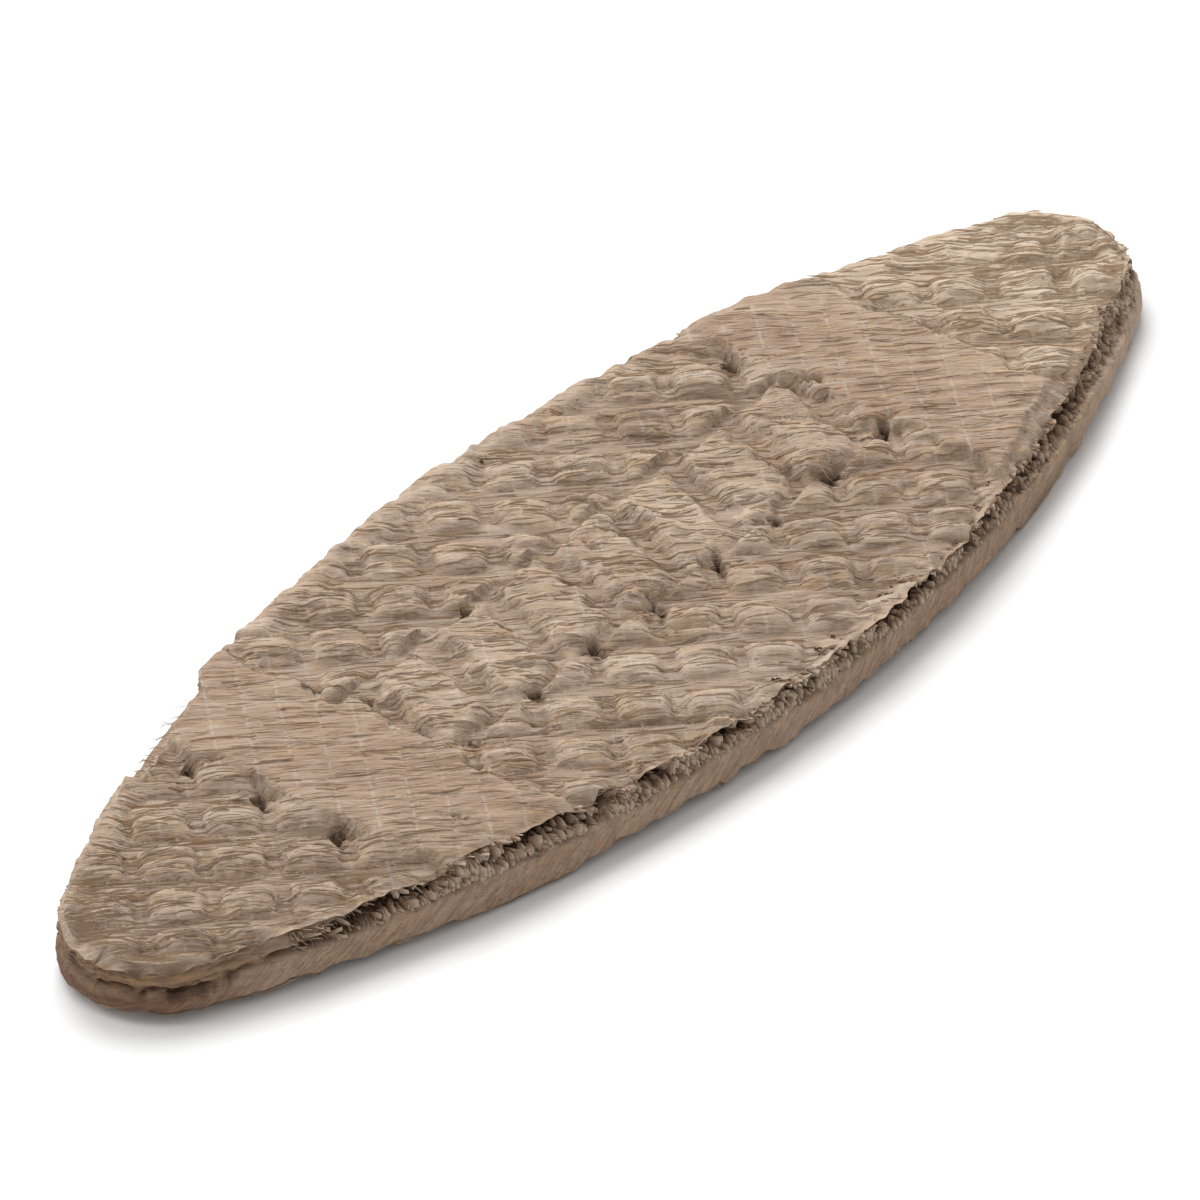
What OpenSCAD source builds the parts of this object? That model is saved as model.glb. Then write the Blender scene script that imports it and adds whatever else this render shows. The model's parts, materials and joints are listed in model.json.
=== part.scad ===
// Jointing biscuit for a slotted wood joint, stamped from pressed beech.
// One flat piece with a lens-shaped outline and a waffle pressed into both faces.
// X runs along the length, Y across it and Z up. The origin is under the middle.

/* [Outline] */
// Length over the two rounded ends
length = 85; // [74:0.5:105]
// Width across the middle
width = 30; // [25:0.5:36]
// Radius of each rounded end
nose_r = 6; // [4:0.5:8]
// Thickness over the plain bands of both faces
thickness = 4; // [3.4:0.1:6]

/* [Stamped edge] */
// Height of the smooth, sheared part of the edge, from the lower face
shear_h = 2.2; // [1.6:0.1:2.6]
// How far the torn part of the edge above it lies back
tear_inset = 0.35; // [0.1:0.05:0.6]

/* [Waffle] */
// Distance between pads along the length
pitch_long = 5.1; // [4.2:0.1:7]
// Distance between pads across the width
pitch_cross = 5.8; // [4.8:0.1:8]
// Width of the valleys between the pads
valley_w = 1; // [0.6:0.1:1.6]
// Depth of the valleys below the plain bands
valley_depth = 0.8; // [0.5:0.05:1.2]
// Rise of each pad's rounded back over its sides
pad_crown = 0.35; // [0.15:0.05:0.4]
// Drop of the pads' crowns below the plain bands
pad_drop = 0.1; // [0.05:0.05:0.2]
// Shift of the waffle along the length
waffle_x = -0.25; // [-2:0.05:2]
// Shift of the waffle across the width
waffle_y = -0.35; // [-2:0.05:2]

/* [Plain bands] */
// Width of the two plain bands that cross each face
band_w = 8; // [5:0.5:10]
// Distance of each band's middle from the middle between them
band_mid = 22.9; // [21:0.1:26]
// Shift of both bands along the length
band_shift = 1.4; // [-2:0.1:2]

/* [Middle strip] */
// Width of the strip between the bands
strip_w = 8.6; // [6:0.2:11]
// Shift of the strip across the width
strip_y = 0.8; // [-1.5:0.1:1.5]
// Distance between the flat blocks in the strip
block_pitch = 5.1; // [4:0.1:7]
// Width of the gaps between the blocks
block_gap = 1; // [0.6:0.1:1.6]
// Lean of the blocks from straight across
block_lean = 18; // [0:1:35]

/* [Broken edges] */
// Where the long splintered bevel on the front edge starts
bevel_x = 19.5; // [14:0.5:26]
// Width of the bevel on the upper face
bevel_w = 1.6; // [0.6:0.1:2.4]
// Depth of the bevel at the outline
bevel_h = 0.9; // [0.4:0.1:1.4]
// Where the bite in the back edge has its middle
bite_x = -24.3; // [-30:0.5:-16]
// Length of the bite
bite_len = 9; // [4:0.5:12]
// Depth of the bite
bite_d = 0.85; // [0.3:0.05:1.2]

/* [Hidden] */
$fn = 96;
eps = 0.01;

// The long edges are arcs that run tangent into the rounded ends.
nose_x = length / 2 - nose_r;
arc_r = (length * length / 4 + width * width / 4 - nose_r * length) / (width - 2 * nose_r);
arc_y = arc_r - width / 2;

// The ends take over a little past the tangent point, where the two curves still run within
// 0.01 mm of each other, so that each wall starts at a corner of its own.
nose_lap = 0.3;

// The waffle's valleys follow the two diagonals of its pitch.
waffle_diagonal = norm([pitch_long, pitch_cross]);
waffle_angle = atan2(pitch_cross, pitch_long);
row_pitch = pitch_long * pitch_cross / waffle_diagonal;
pad_size = 1 - valley_w / row_pitch;
pad_reach = pitch_long / 2 * pad_size;
pad_w = row_pitch - valley_w;
reach = ceil(length / pitch_long);

band_in = band_mid - band_w / 2;
band_out = band_mid + band_w / 2;
floor_z = thickness - valley_depth;
bite_h = thickness - 1.3;
block_count = floor((2 * band_in - block_gap) / block_pitch);

// Half of the width at a place along the length, and where the arcs end
function edge_y(x) = sqrt(arc_r * arc_r - x * x) - arc_y;
function tangent_x(inset) = nose_x + (nose_r - inset) * nose_x / (arc_r - nose_r) + nose_lap;

// Plan of the piece, drawn in by inset
module plan(inset = 0) {
    intersection() {
        translate([0, -arc_y]) circle(r = arc_r - inset);
        translate([0, arc_y]) circle(r = arc_r - inset);
        square([2 * tangent_x(inset), width], center = true);
    }
    for (side = [-1, 1])
        intersection() {
            translate([side * nose_x, 0]) circle(r = nose_r - inset);
            translate([side * (tangent_x(inset) + nose_r), 0])
                square([2 * nose_r, 2 * nose_r], center = true);
        }
}

// Places of the pads, and which of them a face shows
function pad_at(i, j) = [waffle_x + (i - j) * pitch_long / 2, waffle_y + (i + j) * pitch_cross / 2];
function on_face(p) = abs(p.x) < length / 2 && abs(p.y) < edge_y(p.x) + pad_reach / 2;
function off_centre(p) = abs(p.x - band_shift);
function in_strip(p) = off_centre(p) < band_in && abs(p.y - strip_y) < strip_w / 2;
function under_band(p) = off_centre(p) > band_in + pad_reach && off_centre(p) < band_out - pad_reach;

// Side view of a pad, across one set of valleys: upright sides, then two slopes to a flat crown
module pad_profile() {
    top = thickness - pad_drop;
    polygon([
        [-pad_w / 2, thickness / 2], [pad_w / 2, thickness / 2],
        [pad_w / 2, top - pad_crown], [pad_w * 0.36, top - pad_crown * 0.35], [pad_w * 0.2, top],
        [-pad_w * 0.2, top], [-pad_w * 0.36, top - pad_crown * 0.35], [-pad_w / 2, top - pad_crown]
    ]);
}

// One pad: a lozenge with valleys on its four sides and a rounded back
module pad() {
    intersection_for (angle = [90 - waffle_angle, waffle_angle - 90])
        rotate([90, 0, angle])
            linear_extrude(2 * row_pitch, center = true)
                pad_profile();
}

// The two plain bands across a face
module plain_bands(inset) {
    for (side = [-1, 1])
        intersection() {
            plan(inset);
            translate([band_shift + side * band_mid, 0])
                square([band_w, width + 1], center = true);
        }
}

// Flat blocks side by side in the middle strip, leaning a little
module strip_blocks() {
    block_w = block_pitch - block_gap;
    lean = strip_w / 2 * tan(block_lean);
    for (block = [0 : block_count - 1])
        translate([band_shift + (block - (block_count - 1) / 2) * block_pitch, strip_y])
            intersection() {
                polygon([
                    [-block_w / 2 - lean, -strip_w / 2],
                    [block_w / 2 - lean, -strip_w / 2],
                    [block_w / 2 + lean, strip_w / 2],
                    [-block_w / 2 + lean, strip_w / 2]
                ]);
                square([2 * band_in, strip_w - block_gap], center = true);
            }
}

// Upper half of the piece with its pressed face, drawn in by inset at the edge
module upper_half(inset) {
    intersection() {
        linear_extrude(thickness) plan(inset);
        difference() {
            union() {
                translate([0, 0, (thickness / 2 + floor_z) / 2])
                    cube([length + 2, width + 2, floor_z - thickness / 2], center = true);
                for (i = [-reach : reach], j = [-reach : reach])
                    let (p = pad_at(i, j))
                        if (on_face(p) && !in_strip(p) && !under_band(p))
                            translate(p) pad();
            }
            translate([band_shift, strip_y, floor_z + thickness / 2])
                cube([2 * band_in, strip_w, thickness], center = true);
        }
    }
    translate([0, 0, thickness / 2])
        linear_extrude(thickness / 2)
            plain_bands(inset);
    translate([0, 0, thickness / 2])
        linear_extrude(thickness / 2)
            strip_blocks();
}

// Splintered bevel along the right of the front edge
module front_bevel() {
    end_x = tangent_x(0);
    from = [bevel_x, -edge_y(bevel_x)];
    to = [end_x, -edge_y(end_x)];
    run = to - from;
    translate([from.x, from.y, thickness])
        rotate([0, 0, atan2(run.y, run.x)])
            rotate([90, 0, 90])
                linear_extrude(norm(run) + nose_r)
                    polygon([
                        [bevel_w, eps],
                        [-nose_r, eps],
                        [-nose_r, -bevel_h * (1 + nose_r / bevel_w)],
                        [0, -bevel_h]
                    ]);
}

// Bite where a chip came away from the back edge
module back_bite() {
    deep_y = edge_y(bite_x) - bite_d;
    translate([bite_x, deep_y, bite_h])
        linear_extrude(thickness)
            polygon([
                [-bite_len / 2, -bite_d],
                [bite_len / 2 - bite_d, bite_d],
                [bite_len / 2, 3 * bite_d],
                [bite_len / 2, 6 * bite_d],
                [-bite_len / 2 - bite_d / 3, 6 * bite_d]
            ]);
}

module biscuit() {
    color([0.72, 0.62, 0.51])
        difference() {
            union() {
                translate([0, 0, valley_depth])
                    linear_extrude(shear_h - valley_depth)
                        plan();
                upper_half(tear_inset);
                translate([0, 0, thickness])
                    mirror([0, 0, 1])
                        upper_half(0);
            }
            front_bevel();
            back_bite();
        }
}

biscuit();
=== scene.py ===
# %% [markdown]
# # A jointing biscuit in pressed beech
# A jointing biscuit is a small flat piece of wood that is glued into two facing slots.
# It is stamped out of a thin beech strip whose two faces were pressed to a waffle first.
# This file dresses the biscuit: its torn fibres, its splits, its colour and the light on it.

# %% Load the frame
import json
import math
import bpy
import numpy as np
from mathutils import Matrix, Vector

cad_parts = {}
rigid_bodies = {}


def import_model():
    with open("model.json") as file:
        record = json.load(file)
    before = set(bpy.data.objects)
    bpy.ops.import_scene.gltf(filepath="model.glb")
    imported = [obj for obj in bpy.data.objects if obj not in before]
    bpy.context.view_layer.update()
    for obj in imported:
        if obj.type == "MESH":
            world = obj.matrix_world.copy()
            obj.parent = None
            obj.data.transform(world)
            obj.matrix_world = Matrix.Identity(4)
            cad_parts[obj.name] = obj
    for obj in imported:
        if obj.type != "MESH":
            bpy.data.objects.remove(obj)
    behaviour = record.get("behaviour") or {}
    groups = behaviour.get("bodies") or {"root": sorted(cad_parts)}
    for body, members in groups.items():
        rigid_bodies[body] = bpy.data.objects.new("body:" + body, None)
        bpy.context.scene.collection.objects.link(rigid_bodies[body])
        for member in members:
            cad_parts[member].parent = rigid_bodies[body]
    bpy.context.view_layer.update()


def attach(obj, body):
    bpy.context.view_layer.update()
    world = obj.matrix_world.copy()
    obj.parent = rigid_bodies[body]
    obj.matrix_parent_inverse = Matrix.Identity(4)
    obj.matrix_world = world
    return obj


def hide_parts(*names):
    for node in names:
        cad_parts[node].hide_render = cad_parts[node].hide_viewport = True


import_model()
MM = 0.001

# %% [markdown]
# ## The sizes that everything follows
# The outline is two long arcs that run tangent into two rounded ends.
# The waffle is a lattice of pads whose valleys cross the length at about 49 degrees.
# All of it is in millimetres here, and becomes metres when the points are placed.

# %% Sizes of the outline and the waffle
LENGTH, WIDTH, THICK, NOSE_R = 85.0, 30.0, 4.0, 6.0
SHEAR_H, TEAR = 2.2, 0.35
PITCH_LONG, PITCH_CROSS, VALLEY_W, VALLEY_D = 5.1, 5.8, 1.0, 0.8
WAFFLE_X, WAFFLE_Y = -0.25, -0.35
BAND_MID, BAND_W, BAND_SHIFT = 22.9, 8.0, 1.4
STRIP_W, STRIP_Y, BLOCK_PITCH, BLOCK_GAP, BLOCK_LEAN = 8.6, 0.8, 5.1, 1.0, 18.0
NOSE_X = LENGTH / 2 - NOSE_R
ARC_R = (LENGTH**2 / 4 + WIDTH**2 / 4 - NOSE_R * LENGTH) / (WIDTH - 2 * NOSE_R)
ARC_Y = ARC_R - WIDTH / 2
GRAIN = math.atan2(-PITCH_CROSS, PITCH_LONG)
GX, GY = math.cos(GRAIN), math.sin(GRAIN)
PAD_SHARE = 1 - VALLEY_W / (PITCH_LONG * PITCH_CROSS / math.hypot(PITCH_LONG, PITCH_CROSS))
print("arc radius", round(ARC_R, 2), "grain angle", round(math.degrees(GRAIN), 1))

# %% [markdown]
# ## Repeatable noise
# Torn wood is irregular, so many of its forms need noise. Python's own random numbers
# would change from run to run; a hash of whole numbers gives the same wood every time.
# The last number in each call is a seed, which gives that form a pattern of its own.

# %% Noise helpers
HASH_X, HASH_Y, HASH_SEED = 374761393, 668265263, 974634777
STIR_1, STIR_2, LOW_BITS = 1274126177, 2246822519, 0xFFFFFFFF
SOFTNESS = 0.03


def hashed(ix, iy, seed):
    """A value from 0 to 1 for each pair of whole numbers, the same in every run."""
    n = ix.astype(np.int64) * HASH_X + iy.astype(np.int64) * HASH_Y + seed * HASH_SEED
    n = n & LOW_BITS
    n = ((n ^ (n >> 13)) * STIR_1) & LOW_BITS
    n = ((n ^ (n >> 15)) * STIR_2) & LOW_BITS
    return ((n ^ (n >> 16)) & 0xFFFFFF) / float(0x1000000)


def noise(x, y, seed):
    """Smooth noise from -1 to 1 over the plane, with features about one unit wide."""
    ix, iy = np.floor(x), np.floor(y)
    fx, fy = x - ix, y - iy
    fx, fy = fx * fx * (3 - 2 * fx), fy * fy * (3 - 2 * fy)
    low = hashed(ix, iy, seed) * (1 - fx) + hashed(ix + 1, iy, seed) * fx
    high = hashed(ix, iy + 1, seed) * (1 - fx) + hashed(ix + 1, iy + 1, seed) * fx
    return 2 * (low * (1 - fy) + high * fy) - 1


def smooth(edge0, edge1, v):
    """Rises softly from 0 to 1 between two edges, or falls if they are swapped."""
    u = np.clip((v - edge0) / (edge1 - edge0), 0, 1)
    return u * u * (3 - 2 * u)


def held(v, low, high):
    """Keeps values in a range, but softly, so that two points never meet."""
    inside = np.clip(v, low, high)
    return inside + SOFTNESS * (v - inside)


def say_range(name, values):
    print(name, "from", round(float(values.min()), 2), "to", round(float(values.max()), 2), "mm")

# %% [markdown]
# ## The outline
# A grid with corners is bent to the lens: its long sides follow the arcs, and its
# short sides wrap round the noses. Every level of the edge uses the same rule with
# its own inset, so that the sheared and the torn part of the edge line up.

# %% Outline rules
END_ANGLE = math.radians(45)
END_POWER = 10
NOSE_SLOPE = 1.9


def half_width(x, inset):
    """Half of the piece's width at a place along its length."""
    r, big = NOSE_R - inset, ARC_R - inset
    tangent = NOSE_X + r * NOSE_X / (ARC_R - NOSE_R)
    a = np.abs(x)
    arc = np.sqrt(np.maximum(big**2 - np.minimum(a, tangent) ** 2, 0)) - ARC_Y
    nose = np.sqrt(np.maximum(r**2 - np.maximum(a - NOSE_X, 0) ** 2, 0))
    return np.where(a < tangent, arc, nose)


def inward(x, y):
    """Distance from a point in the plan to the outline."""
    ahead = np.abs(x) - NOSE_X
    nose = NOSE_R - np.hypot(ahead, y)
    return np.where(ahead * NOSE_SLOPE > np.abs(y), nose, ARC_R - np.hypot(x, np.abs(y) + ARC_Y))


def place(s, t, inset):
    """Bends a point of the square grid, from -1 to 1 both ways, to the lens."""
    r = NOSE_R - inset
    x1 = NOSE_X + r * math.cos(END_ANGLE)
    x = s * x1
    y_end = t * r * math.sin(END_ANGLE)
    bulge = NOSE_X + np.sqrt(r**2 - y_end**2) - x1
    y = t * half_width(x, inset)
    return x + np.sign(s) * np.abs(s) ** END_POWER * bulge, y


print("half width at the middle and at 35 mm:", half_width(np.array([0.0, 35.0]), 0).round(2))

# %% [markdown]
# ## The pressed face
# Each pad is a loaf of fibres: it runs up from the valley, arches over along the grain
# and drops again. The bands and the blocks in the strip stayed at full height.
# The press tore the wood where a raised area begins, which left deep pits there.

# %% Pits where the press tore the wood
# x, y and size of each pit, in mm
PITS = [
    (-26.2, 7.2, 0.8), (-26.3, 2.3, 1.1), (-26.2, -3.3, 1.1), (-21.8, -8.0, 0.7),
    (-16.1, 3.7, 0.9), (-15.6, -3.6, 0.6), (-10.3, -3.7, 0.9), (-5.2, -3.5, 1.0), (-0.4, -3.7, 1.0),
    (4.8, -3.6, 1.0), (9.7, -3.7, 0.8), (14.8, -3.4, 1.1), (19.7, -3.3, 1.1),
    (20.9, 2.9, 0.9), (19.7, 8.1, 1.0), (-6.6, 4.6, 0.7), (1.6, 2.9, 0.6),
]


def pits(x, y, side):
    """Depth of the pits, each a short gash across the grain with a thin tail."""
    deep = np.zeros_like(x)
    for n, (px, py, size) in enumerate(PITS):
        py = py if side > 0 else 2 * STRIP_Y - py
        dx, dy = x - px, y - py
        along, across = dx * GX + dy * GY, -dx * GY + dy * GX
        lean = 0.9 * (float(hashed(np.array(n), np.array(3), 5)) - 0.3)
        along = along + 0.42 * noise(x * 2.9, y * 2.9, 6) + lean * across
        across = across + 0.26 * noise(x * 3.3 + 9, y * 3.3, 6)
        reach = np.hypot(across / (0.60 * size), along / (0.27 * size))
        tail = 0.42 * size * np.exp(-((across - 0.1) / 0.15) ** 2 - (along / 1.1) ** 2)
        deep = np.maximum(deep, np.maximum(1.45 * size * np.exp(-(reach**2.2)), tail))
    return deep

# %% [markdown]
# ## The waffle, the bands and the strip
# On the real face a press drove ridges between the pads. Here one rule gives the depth
# at any point: first the pads, then the bands and blocks, then furrows, cracks and pits.
# It is a rule and not a cut with other solids, because it can fray every flank differently.

# %% Height of the face below its plane
DEEPEST = 1.9


def pressed(x, y, side):
    """How far the face lies below the plane of the plain bands."""
    seed = 11 if side > 0 else 71
    # a slow wander, so that no row of pads is ruled straight
    wx = 0.16 * noise(x * 1.3, y * 1.3, seed) + 0.07 * noise(x * 3.7, y * 3.7, seed + 1)
    wy = 0.16 * noise(x * 1.3 + 40, y * 1.3, seed) + 0.07 * noise(x * 3.7 + 40, y * 3.7, seed + 1)
    u, v = x + wx - WAFFLE_X, y + wy - WAFFLE_Y
    # steps along and across the grain, counted in pads
    i = u / PITCH_LONG - v / PITCH_CROSS
    j = -u / PITCH_LONG - v / PITCH_CROSS
    ci, cj = np.round(i), np.round(j)
    fa, fb = 2 * (i - ci), 2 * (j - cj)
    rnd = [hashed(ci, cj, seed + k) for k in range(2, 8)]
    # the loaf: its two cross-sections multiplied, with a height of its own for each pad
    pa = np.clip(1 - np.abs((fa + 0.10 * (rnd[0] - 0.5)) / (PAD_SHARE + 0.05)) ** 3.0, 0, 1) ** 0.62
    pb = np.clip(1 - np.abs((fb + 0.10 * (rnd[1] - 0.5)) / PAD_SHARE) ** 2.3, 0, 1) ** 0.75
    tall = (VALLEY_D - 0.02) * (0.80 + 0.20 * rnd[2])
    pad = tall * pa * pb
    # fibres part from the loaf's flank and leave slits along the grain
    for k, wide in ((3, 0.20), (4, 0.17)):
        slit = -0.62 + 0.9 * rnd[k] + 0.16 * pa
        pad -= 0.30 * pa * np.exp(-((fb - slit) / wide) ** 2) * smooth(0.15, 0.5, rnd[k + 1])
    # the rows at the right end were torn low and shaggy
    shaggy = smooth(29, 34, x) * (side > 0)
    pad = pad * (1 - 0.50 * shaggy * (0.6 + noise(x * 0.8, y * 0.8, seed + 8)))
    pad = np.maximum(pad, 0)
    # rows near the edge of the upper face were pressed less, and fade into plain wood
    edge = inward(x, y) - TEAR
    back = (y > 0) * (side > 0)
    plain = 0.4 + 0.3 * (side > 0) + back * (0.35 + 0.5 * smooth(16, 24, x))
    fade = smooth(2.0 * plain, 0.3, edge + 0.9 * noise(x * 0.6, y * 0.6, seed + 9))
    torn_off = 0.5 + 0.5 * noise(x * 0.5 + y * 0.5, (x - y) * 1.1, seed + 10)
    pad = np.maximum(pad, VALLEY_D * fade * (0.72 + 0.08 * back - (0.45 - 0.2 * back) * torn_off))

    # the bands and the strip of blocks
    off = np.abs(x + 0.5 * wx - BAND_SHIFT)
    # the bands' borders are frayed, and the blocks sag a little below them
    ragged = 0.50 * noise(x * 0.9, y * 0.55, seed + 12) + 0.22 * noise(x * 2.1, y * 2.1, seed + 13)
    band = smooth(-0.35, 0.25, BAND_W / 2 - np.abs(off - BAND_MID) + ragged)
    in_strip = smooth(-0.15, 0.15, STRIP_W / 2 - np.abs(y + 0.6 * wy - STRIP_Y)) * (off < BAND_MID)
    lean = math.tan(math.radians(BLOCK_LEAN))
    b = (x - BAND_SHIFT - lean * (y - STRIP_Y) + 2.2 * wx) / BLOCK_PITCH
    b_edge = (BLOCK_PITCH - BLOCK_GAP) / 2 - np.abs(b - np.round(b)) * BLOCK_PITCH
    y_edge = (STRIP_W - BLOCK_GAP) / 2 - np.abs(y - STRIP_Y + 1.6 * wy)
    block = smooth(-0.1, 0.75, b_edge) ** 0.6 * smooth(-0.1, 0.75, y_edge) ** 0.6
    sag = 0.20 + 0.22 * noise(x * 0.75, y * 0.5, seed + 14)
    sag = sag + 0.08 * noise(x * 2.4, y * 2.0, seed + 15)
    block = np.maximum(block * (VALLEY_D - sag), 0)
    height = pad * (1 - in_strip) + block * in_strip
    height = height * (1 - band) + VALLEY_D * band

    # fibres: shallow furrows that follow the grain
    along, across = x * GX + y * GY, -x * GY + y * GX
    furrow = 0.5 * noise(along * 0.22, across * 1.5, seed + 20)
    furrow = furrow + 0.5 * noise(along * 0.45 + 9, across * 2.9, seed + 21)
    bend = 0.4 * noise(x, y, seed + 24)
    strand = 1 - np.abs(noise(along * 0.5 + bend, across * 2.1, seed + 25)) * 2
    swell = 0.08 * noise(along * 0.35, across * 0.7, seed + 26)
    raised = np.clip(height / VALLEY_D, 0, 1)
    rough = (0.095 + 0.01 * band) * (1 - 0.35 * shaggy)
    depth = VALLEY_D - height + rough * (0.55 - furrow)
    depth -= 0.050 * strand * raised * (1 - 0.6 * band) * (1 - 0.4 * shaggy)
    depth += swell * raised + 0.04
    crack = smooth(0.40, 0.85, noise(along * 0.28 + 3, across * 1.5, seed + 22))
    depth += 0.15 * crack * (0.55 + 0.45 * (1 - band))
    # a faint finer waffle is left on the bands
    fine = np.minimum(np.abs(2 * i - np.round(2 * i)), np.abs(2 * j - np.round(2 * j)))
    depth += 0.045 * band * np.exp(-((fine / 0.07) ** 2))
    depth += pits(x, y, side) * (0.75 + 0.25 * noise(x * 3, y * 3, seed + 23))
    return np.clip(depth, 0.0, DEEPEST)


probe = pressed(np.array([-21.5, -0.25, 2.3]), np.array([0.0, -6.15, -6.15]), 1)
print("depth on a band, on a pad and at a crossing:", probe.round(2))

# %% [markdown]
# ## Breaks in the edge
# A long splinter is gone from the right of the front edge and left a bevel.
# A chip is missing from the back edge on the left. Both have the place and size
# that the solid has, with torn wood instead of clean cuts.

# %% Edge breaks
BEVEL_X, BEVEL_W, BEVEL_H = 19.5, 1.6, 0.9
BITE_X, BITE_LEN, BITE_D, BITE_Z = -24.3, 9.0, 0.85, 2.7


def bevel_depth(x, y):
    """How far the bevel cuts down, from the line where it starts on the face."""
    end = NOSE_X + NOSE_R * NOSE_X / (ARC_R - NOSE_R)
    x0, x1 = BEVEL_X, end
    y0, y1 = [-float(half_width(np.array([v]), 0)[0]) for v in (x0, x1)]
    run = math.hypot(x1 - x0, y1 - y0)
    ux, uy = (x1 - x0) / run, (y1 - y0) / run
    along = (x - x0) * ux + (y - y0) * uy
    out = (x - x0) * uy - (y - y0) * ux
    wave = 0.18 * noise(along * 0.8, along * 0 + 2, 31) + 0.08 * noise(along * 3, along * 0, 32)
    cut = (out + BEVEL_W + wave) * BEVEL_H / BEVEL_W
    return np.maximum(cut, 0) * smooth(-0.5, 0.5, along)


def bite_inset(x, y, z):
    """How far the missing chip sets the back edge in."""
    d = (x - BITE_X) / (BITE_LEN / 2)
    inside = smooth(-1.06, -0.96, d) * smooth(1.05, 0.72, d)
    above = smooth(BITE_Z - 0.5, BITE_Z + 0.3, z)
    return BITE_D * inside * (y > 0) * above * (1 + 0.2 * noise(x * 1.5, x * 0, 33))


probe = bevel_depth(np.array([30.0]), np.array([-9.4]))
print("bevel depth at the outline near x = 30:", probe.round(2))

# %% [markdown]
# ## The blank
# On the real object the press and the stamp shape one strip of wood, so this is one
# closed mesh too. It starts as a flat grid, is extruded down in steps to give the edge
# its rings, and its points are then moved like clay to the rules above.

# %% Grid and rings
NX, NY = 460, 144
# height of each ring, as a share of the way from the lower face to the upper
TORN_RINGS = [0.985, 0.955, 0.92, 0.885, 0.85, 0.81, 0.77, 0.73, 0.69, 0.65, 0.61, 0.575, 0.545]
RINGS = TORN_RINGS + [0.46, 0.30, 0.16, 0.05]


def points_of(piece):
    """The points of a mesh as rows of x, y and z."""
    flat = np.empty(len(piece.data.vertices) * 3)
    piece.data.vertices.foreach_get("co", flat)
    return flat.reshape(-1, 3)


def move_points(piece, x, y, z):
    piece.data.vertices.foreach_set("co", (np.column_stack([x, y, z]) * MM).ravel())
    piece.data.update()


def extrude_rings(steps, height):
    """Selects all of the mesh in hand and extrudes it step by step."""
    bpy.ops.object.mode_set(mode="EDIT")
    bpy.ops.mesh.select_all(action="SELECT")
    for _ in range(steps):
        bpy.ops.mesh.extrude_region_move(TRANSFORM_OT_translate={"value": (0, 0, height)})
    bpy.ops.object.mode_set(mode="OBJECT")


def face_outwards():
    bpy.ops.object.mode_set(mode="EDIT")
    bpy.ops.mesh.select_all(action="SELECT")
    bpy.ops.mesh.normals_make_consistent(inside=False)
    bpy.ops.object.mode_set(mode="OBJECT")


bpy.ops.object.select_all(action="DESELECT")
bpy.ops.mesh.primitive_grid_add(x_subdivisions=NX, y_subdivisions=NY, size=2, location=(0, 0, 0))
body = bpy.context.object
body.name = "pressed_biscuit"
LAST = len(RINGS) + 1
extrude_rings(LAST, -1)
print("points", len(body.data.vertices), "faces", len(body.data.polygons))

# %% [markdown]
# ## Reading the grid
# Each point still knows its place in the flat grid: how far along it lies, how far
# across, and in which ring. These numbers decide where it goes, so they are read first.

# %% Read the points of the grid
co = points_of(body)
count = len(co)
s, t = np.clip(co[:, 0], -1, 1), np.clip(co[:, 1], -1, 1)
level = np.round(-co[:, 2]).astype(int)
share = np.array([1.0] + RINGS + [0.0])[level]
on_edge = (np.abs(s) > 1 - 1e-6) | (np.abs(t) > 1 - 1e-6)
print("points on the edge:", int(on_edge.sum()), "of", count)

# %% [markdown]
# ## The torn edge
# The stamp shears the lower half of the edge smooth, and the upper half then breaks
# away. There the fibres' ends stick out in tufts, with dark gaps under the top layer.
# Where the edge runs nearly with the grain, at the left, it splits in long cracks.
# So the roughness is laid out across the grain: the same fibre, the same depth.
# The front lip's set-back is given in mm at places along the length.

# %% How far the edge lies back
LIP_X = [-42, -40, -35, -25, -15, 0, 10, 15, 19.5, 25, 30, 36, 40, 43]
LIP_IN = [0.40, 0.70, 0.85, 0.95, 1.05, 0.55, 0.45, 0.5, 0.75, 0.95, 1.15, 1.25, 0.8, 0.4]


def lip_inset(x, y):
    """How far the top layer lies back from the outline."""
    back = 0.35 + 0.12 * noise(x * 0.25, x * 0, 60) + 0.10 * smooth(38, 41, x)
    return np.where(y < 0, np.interp(x, LIP_X, LIP_IN), back)


def shear_top(x, y):
    """Height at which the smooth wall ends and the torn one starts."""
    wave = 0.22 * noise(x * 0.16, y * 0.1, 61) + 0.12 * noise(x * 0.9, y * 0.5, 62)
    return SHEAR_H + wave - 0.35 * smooth(26, 36, x) - 0.70 * smooth(-35, -41, x)


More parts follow.
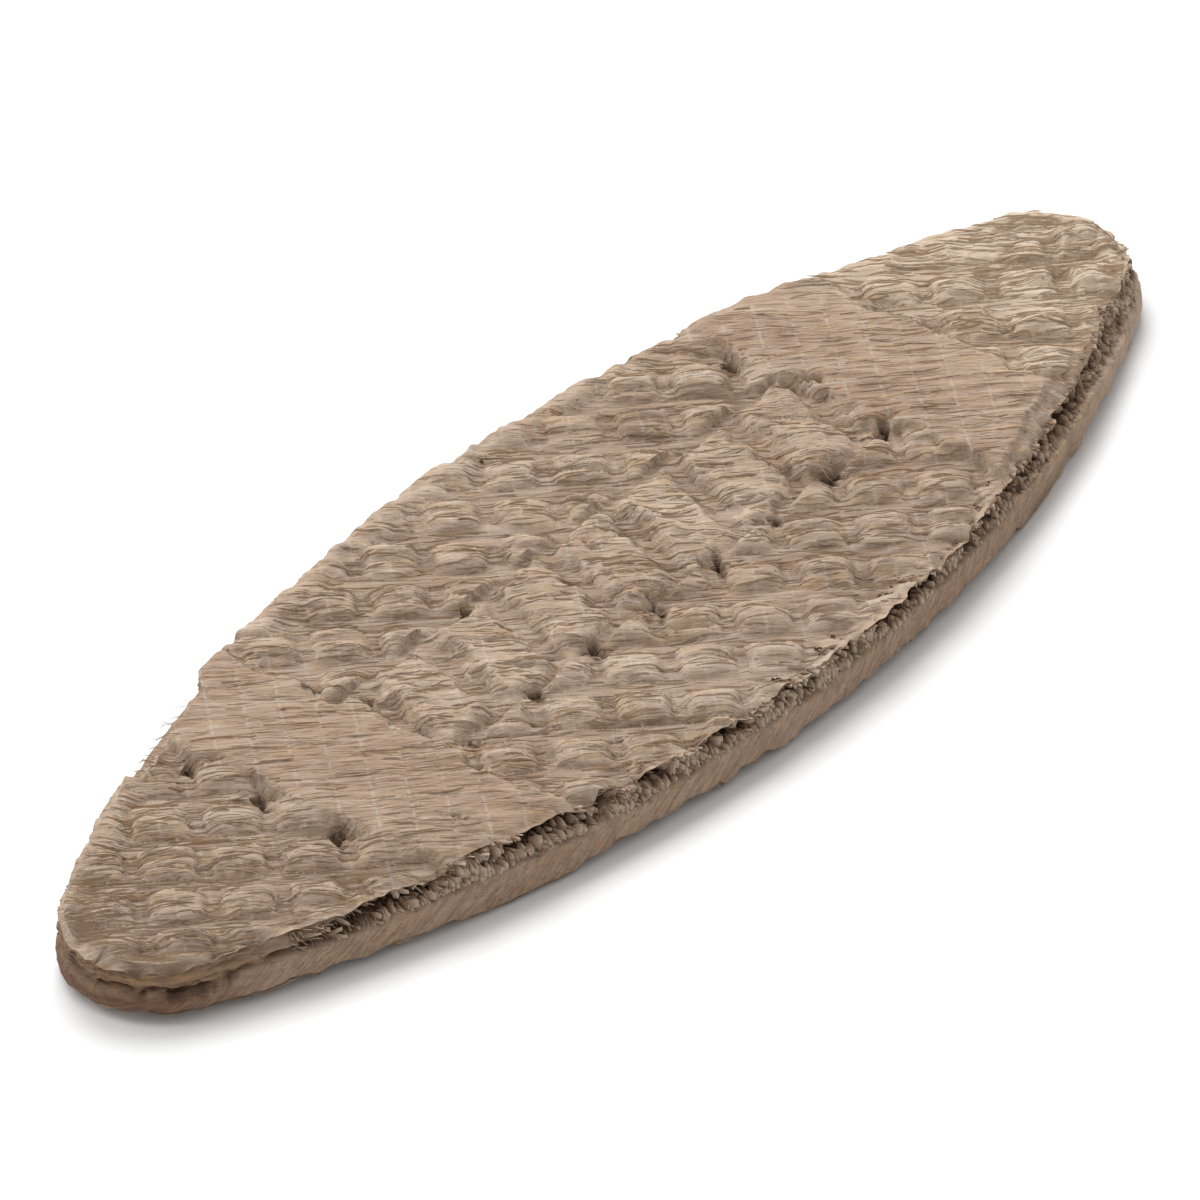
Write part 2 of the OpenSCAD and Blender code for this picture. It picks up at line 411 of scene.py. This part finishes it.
def wall(x, y, z, roof):
    """Set-back of the edge at a height under its roof, and how much of that is a hollow."""
    across = -x * GY + y * GX
    low = shear_top(x, y)
    left, right = smooth(-30, -37, x), smooth(20, 34, x)
    torn = smooth(low - 0.05, low + 0.10, z)
    # the torn wall leans back from the sheared one to the lip, with lumps and curls on it
    h = np.clip((z - low) / np.maximum(roof - low, 0.2), 0, 1)
    lip = lip_inset(x, y)
    slope = 0.14 + (lip - 0.14) * h ** (0.8 - 0.4 * right)
    lumps = (0.26 - 0.10 * left) * noise(across * 1.3, z * 1.6, 51)
    lumps = lumps + 0.28 * noise(across * 2.7, z * 3.3, 52)
    curls = 0.26 * np.abs(noise(across * 4.3, z * 4.6 + 3, 53))
    # near the blunt end the wood parts in thin layers
    layers = left * (0.13 * noise(x * 0.35, z * 3.4 + 5, 49) + 0.07 * noise(x * 0.8, z * 8.0, 50))
    # under the top layer there are hollows where a bundle of fibres came away
    gap_z = roof - 0.58 + 0.12 * noise(x * 0.45, y * 0.3, 54) - 0.45 * left
    pockets = smooth(-0.40, 0.15, noise(across * 0.75, across * 0, 55))
    ragged = 0.5 + 0.5 * noise(x * 1.4, z * 2.2, 59)
    pockets = pockets * (1 - left) * np.where(y < 0, 1.0, 0.5)
    gap = np.exp(-(((z - gap_z) / (0.26 - 0.10 * left)) ** 2))
    gap = (0.05 + 1.20 * pockets + 0.5 * left * ragged) * gap
    # one crack runs low through the wall at the blunt end
    split_z = 1.50 + 0.20 * noise(x * 0.7, y * 0.7, 56) + 0.12 * (x + 42)
    split = (0.20 + 0.75 * ragged) * np.exp(-(((z - split_z) / 0.16) ** 2))
    split = split * left * smooth(-43, -41, x) * (y < 3)
    hollow = (gap + layers + np.maximum(lumps + curls, -0.15) * (1 - 0.5 * left)) * torn
    hollow = hollow * smooth(1.0, 0.93, h) * smooth(0.0, 0.12, h) + split
    # the sheared wall is nearly plain and rounds over at its foot
    fine = 0.04 * noise(x * 0.5 + z * 0.9, z * 0.7, 57) + 0.02 * noise(x * 4 - z * 3.6, y * 4, 58)
    cut = 0.06 + fine + 0.45 * smooth(0.40, 0.0, z) ** 2 * (1 + 0.6 * smooth(38, 42, -x))
    # a sliver left standing low on the right ends in a small step
    cut += 0.30 * smooth(27.5, 27.3, x) * smooth(16, 27, x) * (y < 0) * smooth(1.5, 0.9, z)
    return cut * (1 - torn) + slope * torn + hollow, hollow, torn


probe = lip_inset(np.array([-25.0, 0.0, 30.0]), np.full(3, -1.0))
print("set-back at the front lip:", probe.round(2))

# %% [markdown]
# ## The upper face in plan
# The top layer of fibres broke off further back than the wood under it, by an amount
# that changes along the edge. Points near the edge are drawn in with it and those in
# the middle stay, so the waffle isn't squeezed.

# %% Plan positions of the top layer
rough_x, rough_y = place(s, t, np.full(count, TEAR))
lip = lip_inset(rough_x, rough_y)
ragged_lip = 0.20 * noise(rough_x * 0.9, rough_y * 0.3, 63)
ragged_lip = ragged_lip + 0.16 * noise(rough_x * 2.7, rough_y * 2.0, 64)
ragged_lip = ragged_lip * np.where((rough_y < 0) & (rough_x > -33), 1.0, 0.4)
inner = np.clip(np.maximum(np.abs(t), np.abs(s) ** 8), 0, 1) ** 3
top_in = TEAR + (lip - TEAR) * inner + np.where(on_edge, ragged_lip, 0)
fx, fy = place(s, t, top_in)
say_range("set-back of the top layer", top_in[on_edge])

# %% [markdown]
# ## Heights
# Each point takes the height of the face above it and of the face below it, and its
# ring says how far down between them it lies. The rim of the upper face is worn round,
# because torn fibres bend down there and don't end in a thin lip.

# %% Heights of both faces, seen from each point
relief = pressed(fx, fy, 1)
bevel = bevel_depth(fx, fy)
splinter = 0.30 * (bevel > 0.02) * (0.5 - 0.5 * noise(fx * 2.5, fy * 2.5, 41))
splinter = splinter * smooth(0, 0.3, bevel)
near_tip = smooth(2.8, 0.1, inward(fx, fy) - TEAR) * smooth(-33, -40, fx)
worn = 0.26 * smooth(0.8, 0.0, inward(fx, fy) - lip) * (0.8 + 0.6 * noise(fx * 1.3, fy * 1.3, 42))
relief = np.maximum(relief, bevel + splinter)
relief = relief + 0.35 * near_tip**2 * np.where(fy < 0, 1.0, 0.5) + worn
top_z = THICK - relief
bx, by = place(s, t, np.zeros(count))
low_z = pressed(bx, by, -1) + 0.14 * smooth(0.5, 0.0, half_width(bx, 0) - np.abs(by))
z = low_z + (top_z - low_z) * share
say_range("height of the top", top_z)

# %% [markdown]
# ## The blank takes its shape
# With its height known, each point of the edge is set back by the rule for the wall,
# and the missing chip pushes the back edge in further. Then all points move at once.

# %% Put the points in place
LOW_IN, FURTHEST_IN, CHIP_REACH = 0.42, 2.2, 1.6
inset, hollow, torn = wall(bx, by, z, top_z)
low_in = np.where(on_edge, LOW_IN, 0.0)
inset = np.where(level == 0, top_in, np.where(level == LAST, low_in, inset))
inset = np.clip(inset, 0.0, FURTHEST_IN)
px, py = place(s, t, inset)
chip = bite_inset(px, py, z)
close = smooth(CHIP_REACH, 0.0, half_width(px, TEAR) - np.abs(py))
near = np.where(level == 0, close, (level < LAST) * 1.0)
py = py - np.sign(py) * chip * near
move_points(body, px, py, z)
for axis, values in (("x", px), ("y", py), ("z", z)):
    say_range(axis, values)

# %% [markdown]
# ## Masks
# The material has to know torn wood from sheared wood. The rules above know it for each
# point, so they leave it there as named values, which fit every form exactly.

# %% Masks for the material
def mask(piece, name, values):
    """Stores one value at each point, for the material to read."""
    layer = piece.data.attributes.new(name, "FLOAT", "POINT")
    layer.data.foreach_set("value", np.ascontiguousarray(values, dtype=np.float32))


on_wall = (level > 0) & (level < LAST)
mask(body, "torn", np.where(on_wall, torn, 0))
mask(body, "sheared", np.where(on_wall, 1 - torn, 0))
face_hollow = smooth(0.62, 1.35, relief)
# where the plain bands lie on the upper face, for the painted shade that the material puts on them
plain = smooth(-0.4, 0.4, BAND_W / 2 - np.abs(np.abs(fx - BAND_SHIFT) - BAND_MID))
plain = plain * smooth(0.5, 0.3, relief)
mask(body, "plain", np.where(level == 0, plain, 0))
shade = np.where(level == 0, face_hollow, 0)
mask(body, "hollow", np.where(on_wall, smooth(0.12, 0.75, hollow), shade))
print("share of the points on the wall:", on_wall.mean().round(2))

# %% [markdown]
# ## A lighter underside
# The underside is seldom seen close, so it can carry far fewer faces. Decimate
# collapses edges where the surface is even, and a vertex group keeps it off the rest.

# %% Lighten the underside
KEPT_FACES = 0.60
group = body.vertex_groups.new(name="underside")
group.add([int(v) for v in np.nonzero((level == LAST) & ~on_edge)[0]], 1.0, "REPLACE")
bpy.ops.object.select_all(action="DESELECT")
body.select_set(True)
bpy.context.view_layer.objects.active = body
thin = body.modifiers.new("lighten", "DECIMATE")
thin.ratio = KEPT_FACES
thin.vertex_group = group.name
thin.use_collapse_triangulate = True
bpy.ops.object.modifier_apply(modifier=thin.name)
body.vertex_groups.clear()
# no point may sink below the lower face
co = points_of(body)
co[:, 2] = np.maximum(co[:, 2], 0)
body.data.vertices.foreach_set("co", co.ravel())
face_outwards()
bpy.ops.object.shade_smooth_by_angle(angle=math.radians(55))
body.data.calc_loop_triangles()
print("triangles in the body:", len(body.data.loop_triangles))

# %% [markdown]
# ## Loose fibres
# Pressed beech frays: thin fibres lie over the pads and stand up at the torn edges.
# One fibre is modelled as a thin three-sided rod, an Array repeats it, and each copy is
# then combed along the grain, so that it follows the surface under it.

# %% One fibre, repeated
STEPS, FIBRES = 5, 6000


def rods(name, sides, steps, copies):
    """Makes one closed rod and repeats it. The second result is the points in one rod."""
    bpy.ops.object.select_all(action="DESELECT")
    bpy.ops.mesh.primitive_circle_add(vertices=sides, radius=1, fill_type="NGON",
                                      location=(0, 0, 0))
    piece = bpy.context.object
    piece.name = name
    extrude_rings(steps, 1)
    face_outwards()
    in_one = len(piece.data.vertices)
    array = piece.modifiers.new("repeat", "ARRAY")
    array.count = copies
    array.relative_offset_displace = (2, 0, 0)
    bpy.ops.object.modifier_apply(modifier=array.name)
    return piece, in_one


fibres, one = rods("loose_fibres", 3, STEPS, FIBRES)
print("points in one fibre:", one, "in all:", len(fibres.data.vertices))

# %% [markdown]
# ## Combing
# Loose fibres lie nearly along the grain. Most are short and thin, and they are thinner
# still on the bands, where the press ironed them flat. Each one draws its own place,
# length, turn, thickness and lift from the hash.

# %% Comb the fibres along the grain
# shape holds each point's place in its own rod, w the rod it belongs to, k the rods' numbers
shape = np.tile(points_of(fibres)[:one], (FIBRES, 1))
w = np.arange(len(shape)) // one
k = np.arange(FIBRES)


def draw(seed):
    """One value from 0 to 1 for each rod."""
    return hashed(k, k * 0 + 7, seed)


xs = (draw(101) * 2 - 1) * (LENGTH / 2 - 1.2)
ys = (draw(102) * 2 - 1) * (half_width(xs, TEAR) - 0.5)
long = 0.9 + 2.3 * draw(103) ** 2
turn = GRAIN + math.radians(16) * (draw(104) - 0.5)
thin_r = 0.013 + 0.045 * draw(105) ** 2.5
peel = np.where(draw(106) > 0.86, 0.06 + 0.25 * draw(107), 0.02 * draw(107))
# three loose splinters that the photo shows stand out from the rest
xs[:3], ys[:3] = (5.1, 16.9, 4.3), (6.0, 5.9, -11.4)
long[:3], thin_r[:3], peel[:3] = (2.0, 2.4, 2.2), 0.10, (0.9, 0.6, 0.5)
on_band = (np.abs(np.abs(xs - BAND_SHIFT) - BAND_MID) < BAND_W / 2) & (draw(108) > 0.25)
thin_r, peel = np.where(on_band, 0.4 * thin_r, thin_r), np.where(on_band, 0.0, peel)
say_range("length of the fibres", long)

# %% [markdown]
# ## Laying the fibres down
# Each ring of a fibre looks up the height of the face under it, so the fibre drapes over
# pads and valleys. Its far end peels up a little, and both ends taper.

# %% Place each ring of each fibre
FIBRE_END, FIBRE_RISE = 41.6, 0.09
tau = shape[:, 2] / STEPS
bow = 0.14 * (draw(109) - 0.5)
run = (tau - 0.5) * long[w]
side = bow[w] * (4 * (tau - 0.5) ** 2 - 1) * long[w]
cx = xs[w] + run * np.cos(turn[w]) - side * np.sin(turn[w])
cy = ys[w] + run * np.sin(turn[w]) + side * np.cos(turn[w])
cx = np.clip(cx, -FIBRE_END, FIBRE_END)
limit = half_width(cx, np.minimum(lip_inset(cx, cy) + 0.35, 0.9))
cy = np.clip(cy, -limit, limit)
ground = THICK - np.maximum(pressed(cx, cy, 1), bevel_depth(cx, cy))
cz = ground + 0.6 * thin_r[w] + peel[w] * tau**2
taper = np.sin(math.pi * (0.12 + 0.76 * tau))
fx = cx - shape[:, 0] * thin_r[w] * taper * np.sin(turn[w])
fy = cy + shape[:, 0] * thin_r[w] * taper * np.cos(turn[w])
fz = held(cz + shape[:, 1] * thin_r[w] * taper, 0, THICK + FIBRE_RISE)
move_points(fibres, fx, fy, fz)
bpy.ops.object.shade_smooth_by_angle(angle=math.radians(80))
mask(fibres, "honey", draw(110)[w])
say_range("height of the fibres", fz)

# %% [markdown]
# ## Tufts in the torn edge
# Bundles of fibre ends stick out of the torn half of the edge. One tuft is a short
# square rod with a rounded end. Every copy starts inside the wood, leans out along
# the grain and stops short of the outline, so the plan of the part stays true.

# %% One tuft, repeated
TUFT_STEPS, TUFTS = 3, 5600
tufts, one = rods("torn_tufts", 4, TUFT_STEPS, TUFTS)
print("points in one tuft:", one, "in all:", len(tufts.data.vertices))

# %% [markdown]
# ## Rooting the tufts
# Two thirds of the tufts stand in the front edge, and the rest at the back and the ends.
# Each starts at the wall's own depth and some way up its torn part, leans along the
# grain, and is short where the wall is hollow, so none floats in a gap.

# %% Where each tuft grows
ROOT, FRONT_SHARE, END_SHARE = 0.25, 0.66, 0.10
shape = np.tile(points_of(tufts)[:one], (TUFTS, 1))
w = np.arange(len(shape)) // one
k = np.arange(TUFTS)
# where along the edge: tside is the front or the back, ts the place along it
tside = np.where(draw(202) < FRONT_SHARE, -1.0, 1.0)
ts = np.where(tside < 0, 1 - 1.86 * draw(201) ** 0.9, draw(201) * 2 - 1)
ts = np.where((tside > 0) & (ts < -0.4) & (ts > -0.75), -ts, ts)
ends = draw(204) < END_SHARE
es, et = np.where(ends, 1.0, ts), np.where(ends, draw(205) * 2 - 1, tside)
wx, wy = place(es, et, np.zeros(TUFTS))
# how high: between the sheared wall and the underside of the top layer
lip_x, lip_y = place(es, et, lip_inset(wx, wy))
roof = THICK - np.maximum(pressed(lip_x, lip_y, 1), bevel_depth(lip_x, lip_y))
floor_z = shear_top(wx, wy) + 0.08
tz = floor_z + np.maximum(roof - 0.15 - 0.3 * (et > 0) - floor_z, 0) * draw(203)
setback, tuft_hollow = wall(wx, wy, tz, roof)[:2]
# which way: along the grain, turned to the outside
ox, oy = place(es, et, np.ones(TUFTS))
out = np.hypot(wx - ox, wy - oy)
nx, ny = (wx - ox) / out, (wy - oy) / out
lean = np.sign(nx * GX + ny * GY)
yaw = math.radians(110) * (draw(206) - 0.5)
dx = lean * (GX * np.cos(yaw) - GY * np.sin(yaw)) + 0.9 * nx
dy = lean * (GX * np.sin(yaw) + GY * np.cos(yaw)) + 0.9 * ny
dz = 1.5 * (draw(207) - 0.5)
norm = np.sqrt(dx**2 + dy**2 + dz**2)
dx, dy, dz = dx / norm, dy / norm, dz / norm
outward = np.maximum(dx * nx + dy * ny, 0.3)
# how thick and how long
fat = (0.08 + 0.28 * draw(209) ** 2) * (0.3 + 0.7 * smooth(-35, -28, wx))
deep_in = smooth(0.30, 0.65, tuft_hollow)
reach = np.clip((setback - 0.14) * 0.5, 0.02, 0.10 + 0.18 * draw(208)) * (1 - deep_in)
fat = fat * (1 - 0.6 * deep_in)
long_t = (reach + ROOT) / outward
print("tufts", TUFTS, "mean reach out of the wood", reach.mean().round(2))

# %% [markdown]
# ## Growing the tufts
# A tuft runs from its root outwards, curls a little and droops at its end. Soft limits
# keep it inside the plan and under the top layer, and no two of its points ever meet.

# %% Grow the tufts
TUFT_LOW, FRONT_DROP, BACK_DROP, PLAN_GAP = 1.6, 0.24, 0.42, 0.08
THICKNESS_AT = np.array([1.0, 1.0, 0.9, 0.5])
tau = shape[:, 2] / TUFT_STEPS
start = setback + ROOT
sx, sy = wx - nx * start, wy - ny * start
along_t = tau * long_t[w]
ax, ay = -dy[w], dx[w]
fade = THICKNESS_AT[np.round(shape[:, 2]).astype(int)] * fat[w]
curl = 0.30 * (draw(210)[w] - 0.5) * tau**2
tx = sx[w] + dx[w] * along_t + ax * (0.65 * shape[:, 0] * fade + curl)
ty = sy[w] + dy[w] * along_t + ay * (0.65 * shape[:, 0] * fade + curl)
tz_all = tz[w] + dz[w] * along_t + 1.4 * shape[:, 1] * fade - 0.12 * tau**2
room = half_width(tx, PLAN_GAP)
ty = held(ty, -room, room)
ceiling = roof - np.where(wy > -1, BACK_DROP, FRONT_DROP)
tz_all = held(tz_all, TUFT_LOW, ceiling[w])
move_points(tufts, tx, ty, tz_all)
bpy.ops.object.shade_smooth_by_angle(angle=math.radians(60))
# tip carries painted light: the tufts grow paler towards their ends, which stick out of the wall,
# but less so deep in its hollows
mask(tufts, "tip", tau * (1 - 0.7 * deep_in[w]))
# root carries painted shade: the tufts grow darker towards where they enter the wall, and darker
# still in its deep hollows
mask(tufts, "root", np.clip((1 - tau) ** 0.6 + 0.4 * deep_in[w], 0, 1))
for axis, values in (("x", tx), ("y", ty), ("z", tz_all)):
    say_range(axis, values)

# %% [markdown]
# ## Shader maths
# A small class lets node sockets be added and multiplied like numbers, which keeps
# the recipe for the wood readable.

# %% Sockets as numbers
class Value:
    """A value in a node tree, which can be added, subtracted and multiplied."""

    def __init__(self, tree, socket):
        self.tree, self.socket = tree, socket

    def math(self, kind, *others):
        return node(self.tree, "ShaderNodeMath", {"operation": kind}, [self, *others])

    def __add__(self, other):
        return self.math("ADD", other)

    def __mul__(self, other):
        return self.math("MULTIPLY", other)

    def __sub__(self, other):
        return self.math("SUBTRACT", other)

    def __rsub__(self, other):
        return node(self.tree, "ShaderNodeMath", {"operation": "SUBTRACT"}, [other, self])


def node(tree, kind, settings, inputs, out=0):
    """Adds any node: settings first, then a value or a link for each socket."""
    n = tree.nodes.new(kind)
    for name, value in settings.items():
        if name == "stops":
            ramp = n.color_ramp
            while len(ramp.elements) < len(value):
                ramp.elements.new(0.5)
            for element, (at, colour) in zip(ramp.elements, value):
                element.position, element.color = at, (*colour, 1) if len(colour) == 3 else colour
        else:
            setattr(n, name, value)
    pairs = inputs.items() if isinstance(inputs, dict) else enumerate(inputs)
    for name, value in pairs:
        if isinstance(value, Value):
            tree.links.new(value.socket, n.inputs[name])
        elif value is not None:
            n.inputs[name].default_value = value
    return Value(tree, n.outputs[out])

# %% [markdown]
# ## Raw beech
# Beech is a pale pinkish tan with fine streaks along the grain and short dark flecks.
# Pressed hollows hold dirt and shade, and the sheared edge is darker and browner.
# Noise that is stretched along the grain gives the streaks, and height gives the rest.

# %% Beech material
BUMP_DEPTH = 0.00012
SLANT = math.radians(42)


def linear(r, g, b):
    """Turns a colour as a screen shows it into the values that Blender works with."""
    shown = [v / 255 for v in (r, g, b)]
    return tuple(v / 12.92 if v <= 0.04045 else ((v + 0.055) / 1.055) ** 2.4 for v in shown)


def beech(name, pale):
    """The wood of all three pieces; the pale kind is for fibres and tufts."""
    material = bpy.data.materials.new(name)
    material.use_nodes = True
    tree = material.node_tree
    shader = tree.nodes["Principled BSDF"]
    spot = node(tree, "ShaderNodeTexCoord", {}, [], "Object")

    def mapped(base, **changes):
        return node(tree, "ShaderNodeMapping", {}, {"Vector": base, **changes})

    in_mm = mapped(spot, Scale=(1000, 1000, 1000))
    turned = mapped(in_mm, Rotation=(0, 0, -GRAIN))
    slanted = mapped(in_mm, Rotation=(0, SLANT, 0))

    def stretched(x, y, z, detail, seed, rough=0.6, base=turned):
        moved = mapped(base, Location=(seed, seed * 1.7, seed * 0.3), Scale=(x, y, z))
        inputs = {"Vector": moved, "Scale": 1.0, "Detail": detail, "Roughness": rough}
        return node(tree, "ShaderNodeTexNoise", {}, inputs, "Fac")

    def masked(name):
        return node(tree, "ShaderNodeAttribute", {"attribute_name": name}, [], "Fac")

    def window(value, low, high, top=1.0):
        soft = {"interpolation_type": "SMOOTHSTEP"}
        limits = {"Value": value, "From Min": low, "From Max": high, "To Min": 0.0, "To Max": top}
        return node(tree, "ShaderNodeMapRange", soft, limits, "Result")

    def mixed(share, first, second, kind="MIX"):
        second = second if isinstance(second, Value) else (*linear(*second), 1)
        # the mix node keeps its colours in sockets 6 and 7, and gives their mixture in 2
        settings = {"data_type": "RGBA", "blend_type": kind}
        return node(tree, "ShaderNodeMix", settings, {0: share, 6: first, 7: second}, 2)

    broad = stretched(0.035, 0.16, 0.16, 3, 3.1)
    streak = stretched(0.16, 2.2, 2.2, 5, 11.3, 0.7)
    hair = stretched(0.55, 7.5, 7.5, 4, 23.9, 0.75)
    fleck = stretched(0.30, 3.4, 3.4, 2, 41.7, 0.5)
    cloud = stretched(0.9, 1.1, 1.1, 3, 57.1)
    warm = stretched(0.5, 1.3, 1.3, 3, 83.3)
    drag = stretched(0.9, 0.25, 6.0, 4, 97.7, 0.7, slanted)
    torn, sheared, hollow = masked("torn"), masked("sheared"), masked("hollow")

    # light and dark along the grain, in four sizes
    tone = broad * 0.35 + streak * 0.45 + hair * 0.60 + cloud * 0.15
    tone = (tone - 0.775) * 1.45 + 0.55
    shades = [
        (0.0, linear(104, 80, 62)), (0.30, linear(141, 117, 98)), (0.52, linear(168, 147, 128)),
        (0.75, linear(188, 170, 152)), (1.0, linear(208, 195, 180)),
    ]
    colour = node(tree, "ShaderNodeValToRGB", {"stops": shades}, [tone], "Color")
    # honey-coloured patches where fibres were torn open
    colour = mixed(window(warm, 0.50, 0.72, 0.45), colour, (186, 154, 114))
    colour = mixed(window(fleck, 0.62, 0.72, 0.5), colour, (104, 74, 54))
    # paler and creamier towards the right end: partly the wood's own tone, partly painted light
    # where the lamp from the back right falls brightest
    place_x = node(tree, "ShaderNodeSeparateXYZ", {}, [in_mm], "X")
    colour = mixed(window(place_x, 20, 40, 0.50), colour, (222, 204, 180))
    # painted shade: the plain bands were pressed flat and face the lamps, so they are darkened to
    # the brightness of the pads, whose slopes are shaded
    colour = mixed(masked("plain"), colour, (240, 236, 233), "MULTIPLY")
    # pale lines that the ribs of the press left, on the face only
    across = node(tree, "ShaderNodeSeparateXYZ", {}, [in_mm], "Y")
    wander = (cloud - 0.5) * 0.12
    rib_u = (place_x - WAFFLE_X) * (2 / PITCH_LONG)
    rib_v = (across - WAFFLE_Y) * (2 / PITCH_CROSS)
    line_a = (rib_u - rib_v + wander).math("PINGPONG", 0.5)
    line_b = (rib_u + rib_v + wander).math("PINGPONG", 0.5)
    line = window(line_a.math("MINIMUM", line_b), 0.075, 0.0, 0.34) * window(cloud, 0.36, 0.56)
    on_face = 1 - (torn + sheared).math("MINIMUM", 1.0)
    colour = mixed(line * on_face, colour, (196, 184, 172))
    # the sheared band is smooth and redder, with slanted drag marks
    band = mixed(window(drag, 0.38, 0.62), (*linear(106, 79, 63), 1), (168, 136, 108))
    band = mixed(0.35, band, colour)
    colour = mixed(sheared * 0.85, colour, band)
    # painted shade: the wall at the blunt left end, furthest from the lamp, is darkened
    end = window(place_x, -35, -42) * (sheared + torn * 0.6)
    colour = mixed(end * 0.7, colour, (150, 118, 98), "MULTIPLY")
    # the torn wall is made darker brown all along
    colour = mixed(torn * 0.5, colour, (128, 100, 78))
    # split wood at the blunt end shows honey and brown layers
    blunt = window(place_x, -33, -38)
    layered = stretched(0.25, 0.8, 5.0, 4, 63.7, 0.7, in_mm)
    colour = mixed(window(layered, 0.50, 0.62, 0.55) * torn * blunt, colour, (178, 138, 94))
    brown = window(layered, 0.46, 0.38, 0.55) * (torn + sheared * 0.5) * blunt
    colour = mixed(brown, colour, (96, 66, 46))
    # hollows hold dust and shade
    colour = mixed(hollow * 0.8, colour, (118, 92, 74), "MULTIPLY")
    if pale:
        colour = mixed(0.35, colour, (170, 143, 120))
        # painted light: paler tips of the tufts
        colour = mixed(masked("tip") * 0.5, colour, (198, 180, 160))
        # painted shade: darker roots of the tufts and tufts deep in hollows
        colour = mixed(masked("root") * 0.9, colour, (150, 126, 106), "MULTIPLY")
        colour = mixed(window(masked("honey"), 0.55, 0.75, 0.5), colour, (190, 156, 112))
        colour = mixed(window(masked("honey"), 0.85, 0.95, 0.6), colour, (218, 206, 190))
    tree.links.new(colour.socket, shader.inputs["Base Color"])
    tree.links.new((0.88 - streak * 0.12).socket, shader.inputs["Roughness"])
    shader.inputs["Specular IOR Level"].default_value = 0.2
    pores = stretched(1.4, 14.0, 14.0, 3, 71.9, 0.7)
    relief = hair * 0.5 + streak * 0.9 + pores * 0.3 - window(fleck, 0.62, 0.72, 0.4)
    relief = relief + torn * stretched(3.5, 5.0, 5.0, 4, 29.3, 0.7) * 1.5 + line * on_face * 0.3
    inputs = {"Strength": 0.9, "Distance": BUMP_DEPTH, "Height": relief}
    bump = node(tree, "ShaderNodeBump", {}, inputs)
    tree.links.new(bump.socket, shader.inputs["Normal"])
    return material


body.data.materials.clear()
body.data.materials.append(beech("beech_raw", False))
loose = beech("beech_fibre", True)
for piece in (fibres, tufts):
    piece.data.materials.clear()
    piece.data.materials.append(loose)
print("materials:", [m.name for m in bpy.data.materials])

# %% [markdown]
# ## Joining the frame
# The dressed body stands for the solid, and the fibres and tufts ride with it. The real
# object is one piece of wood; there are three pieces here because each is built in its
# own way, a bent grid and two sorts of rods.

# %% Ride and replace
for piece in (body, fibres, tufts):
    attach(piece, "root")
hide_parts("biscuit")
print("pieces:", [o.name for o in (body, fibres, tufts)])

# %% [markdown]
# ## Floor, light and camera
# A plain pale floor under soft light from above and behind keeps the relief readable,
# and a long lens from the photograph's side gives the same foreshortening.

# %% Floor
FLOOR_RADIUS, FLOOR_Z = 1.5, -0.00002
bpy.ops.object.select_all(action="DESELECT")
bpy.ops.mesh.primitive_circle_add(vertices=96, radius=FLOOR_RADIUS, fill_type="NGON",
                                  location=(0, 0, FLOOR_Z))
floor = bpy.context.object
floor.name = "floor"
bpy.ops.object.transform_apply(location=True, rotation=True, scale=True)
paper = bpy.data.materials.new("paper_floor")
paper.use_nodes = True
surface = paper.node_tree.nodes["Principled BSDF"]
surface.inputs["Base Color"].default_value = (0.86, 0.86, 0.86, 1)
surface.inputs["Roughness"].default_value = 0.9
surface.inputs["Specular IOR Level"].default_value = 0.0
floor.data.materials.append(paper)
print("floor radius in m:", FLOOR_RADIUS)

# %% [markdown]
# ## A lit room
# The camera sees a white world, while the wood is lit by a dimmer one, so the background
# stays clean and the shadows keep their depth. Two wide discs of light stand for windows.

# %% World and lamps
GLOW = 0.58
world = bpy.data.worlds.new("studio")
bpy.context.scene.world = world
world.use_nodes = True
world_tree = world.node_tree
world_tree.nodes.clear()
path = world_tree.nodes.new("ShaderNodeLightPath")
rays = ("Is Camera Ray", "Is Glossy Ray", "Is Transmission Ray")
direct, mirrored, through = [Value(world_tree, path.outputs[name]) for name in rays]
seen = (direct + mirrored + through).math("MINIMUM", 1.0)
strength = seen * (1 - GLOW) + GLOW
sky = node(world_tree, "ShaderNodeBackground", {}, {"Color": (1, 1, 1, 1), "Strength": strength})
world_tree.links.new(sky.socket, world_tree.nodes.new("ShaderNodeOutputWorld").inputs["Surface"])


def lamp(name, where, size, power):
    """A disc of light that faces the middle of the piece."""
    data = bpy.data.lights.new(name, "AREA")
    data.shape, data.size, data.energy = "DISK", size, power
    light = bpy.data.objects.new(name, data)
    bpy.context.scene.collection.objects.link(light)
    light.location = where
    light.rotation_euler = (-Vector(where)).to_track_quat("-Z", "Y").to_euler()
    print(name, "lamp at", round(math.dist(where, (0, 0, 0)), 2), "m")


lamp("key", (0.32, 0.34, 0.54), 0.50, 4.4)
lamp("fill", (-0.15, 0.40, 0.60), 0.60, 2.0)

# %% [markdown]
# ## The camera
# The camera's place and turn were found by matching the outline and the lattice of the
# waffle to the photograph. They are written as the ways its right, down and ahead point.

# %% Camera
camera = bpy.data.objects.new("camera", bpy.data.cameras.new("camera"))
bpy.context.scene.collection.objects.link(camera)
RIGHT = (0.646213, -0.760121, -0.068013)
DOWN = (-0.474417, -0.330313, -0.815979)
AHEAD = (0.597777, 0.559562, -0.574067)
SPOT = (-0.517612, -0.483705, 0.498809)
SENSOR, LENS = 36, 477.65
rows = [(RIGHT[n], -DOWN[n], -AHEAD[n], SPOT[n]) for n in range(3)]
camera.matrix_world = Matrix(rows + [(0, 0, 0, 1)])
camera.data.sensor_width = SENSOR
camera.data.lens = LENS
camera.data.clip_start, camera.data.clip_end = 0.05, 10
bpy.context.scene.camera = camera
bpy.context.scene.view_settings.view_transform = "Standard"
print("camera distance in mm:", round(math.dist(SPOT, (0, 0, 0)) / MM))
